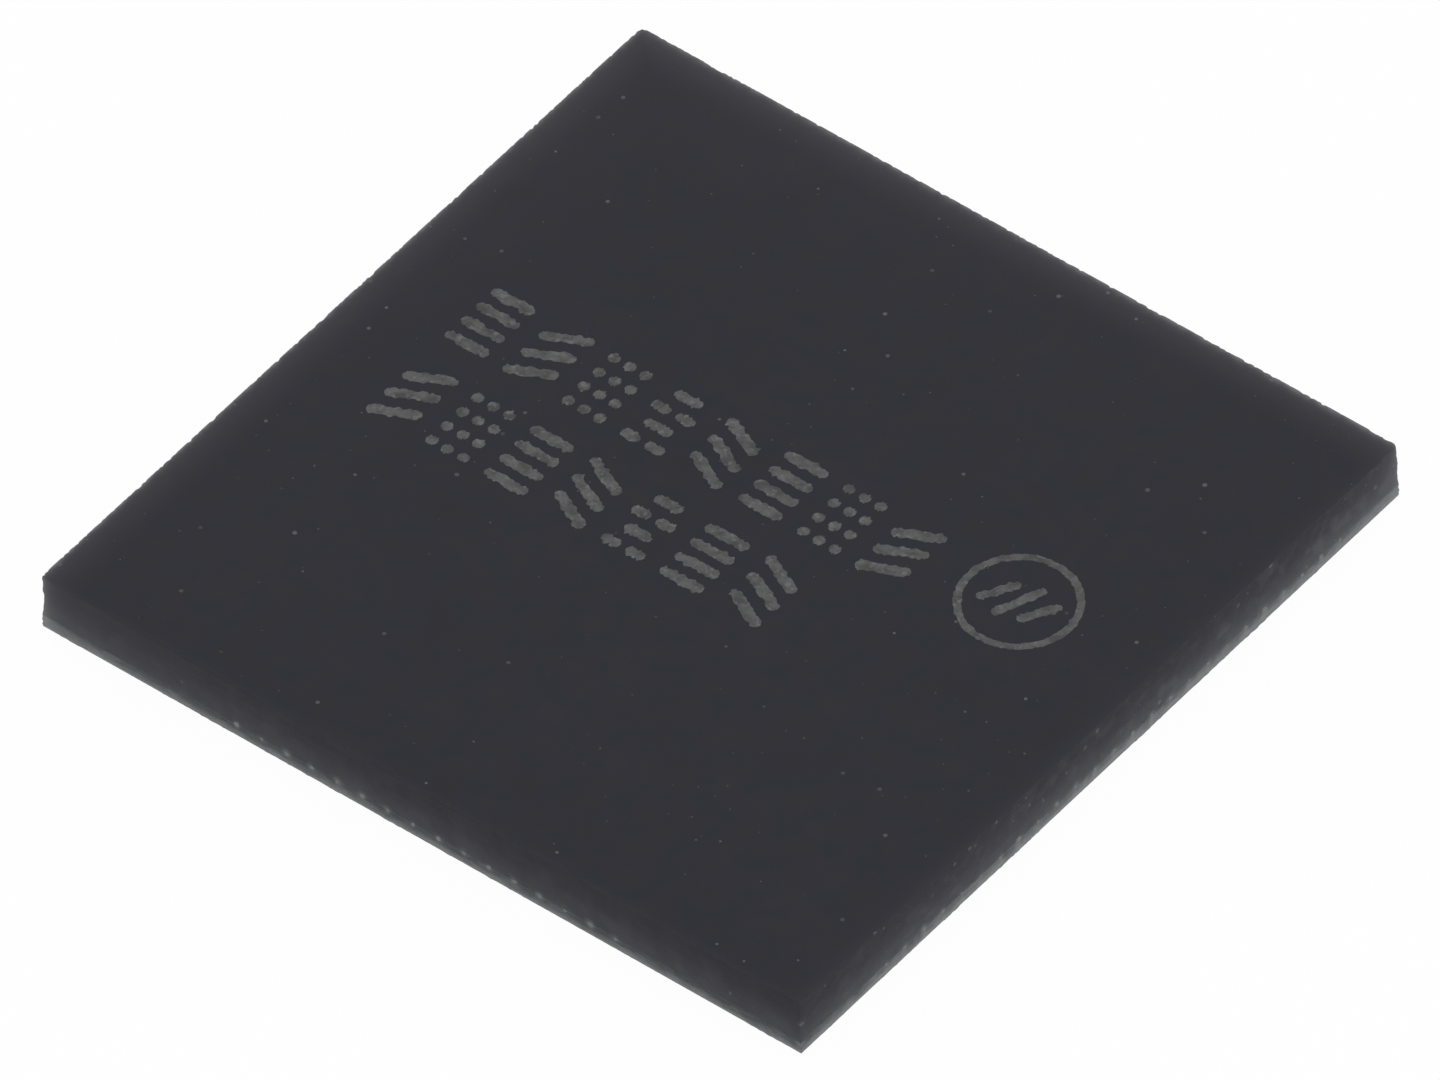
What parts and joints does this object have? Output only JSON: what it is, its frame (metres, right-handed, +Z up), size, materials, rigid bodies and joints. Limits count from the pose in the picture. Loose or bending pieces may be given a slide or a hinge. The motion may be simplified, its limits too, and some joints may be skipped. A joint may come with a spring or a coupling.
{
  "type": "analog switch chip",
  "caption": "Flat square black moulded chip that switches analog signals, with rings of small solder balls underneath that join it to a circuit board.",
  "frame": {"origin": "middle of the plane that the solder balls stand on", "axes": "+Z up out of the marked top face, +X along the lines of marking, +Y up the marking; the corner of ball A1 is in -X and +Y"},
  "size_m": [0.012, 0.012, 0.0012],
  "materials": {
    "mould_compound": "matte",
    "laminate": "matte",
    "solder_mask": "satin",
    "copper": "satin",
    "gold": "satin",
    "silicon": "gloss",
    "die_film": "matte",
    "solder": "satin"
  },
  "bodies": {
    "root": {"mould_cap": "mould_compound", "silicon_die": "silicon", "die_attach_film": "die_film", "bond_wires_north": "gold", "bond_wires_east": "gold", "bond_wires_south": "gold", "bond_wires_west": "gold", "finger_plating": "gold", "top_solder_mask": "solder_mask", "die_paddle": "copper", "top_copper_north": "copper", "top_copper_east": "copper", "top_copper_south": "copper", "top_copper_west": "copper", "laminate_core": "laminate", "via_barrels": "copper", "via_plugs": "solder_mask", "bottom_copper_north": "copper", "bottom_copper_east": "copper", "bottom_copper_south": "copper", "bottom_copper_west": "copper", "corner_index": "gold", "bottom_solder_mask": "solder_mask", "ball_row_a": "solder", "ball_row_b": "solder", "ball_row_c": "solder", "ball_row_d": "solder", "ball_row_e": "solder", "ball_row_f": "solder", "ball_row_g": "solder", "ball_row_h": "solder", "ball_row_j": "solder", "ball_row_k": "solder", "ball_row_l": "solder", "ball_row_m": "solder", "ball_row_n": "solder", "ball_row_p": "solder"}
  },
  "joints": []
}
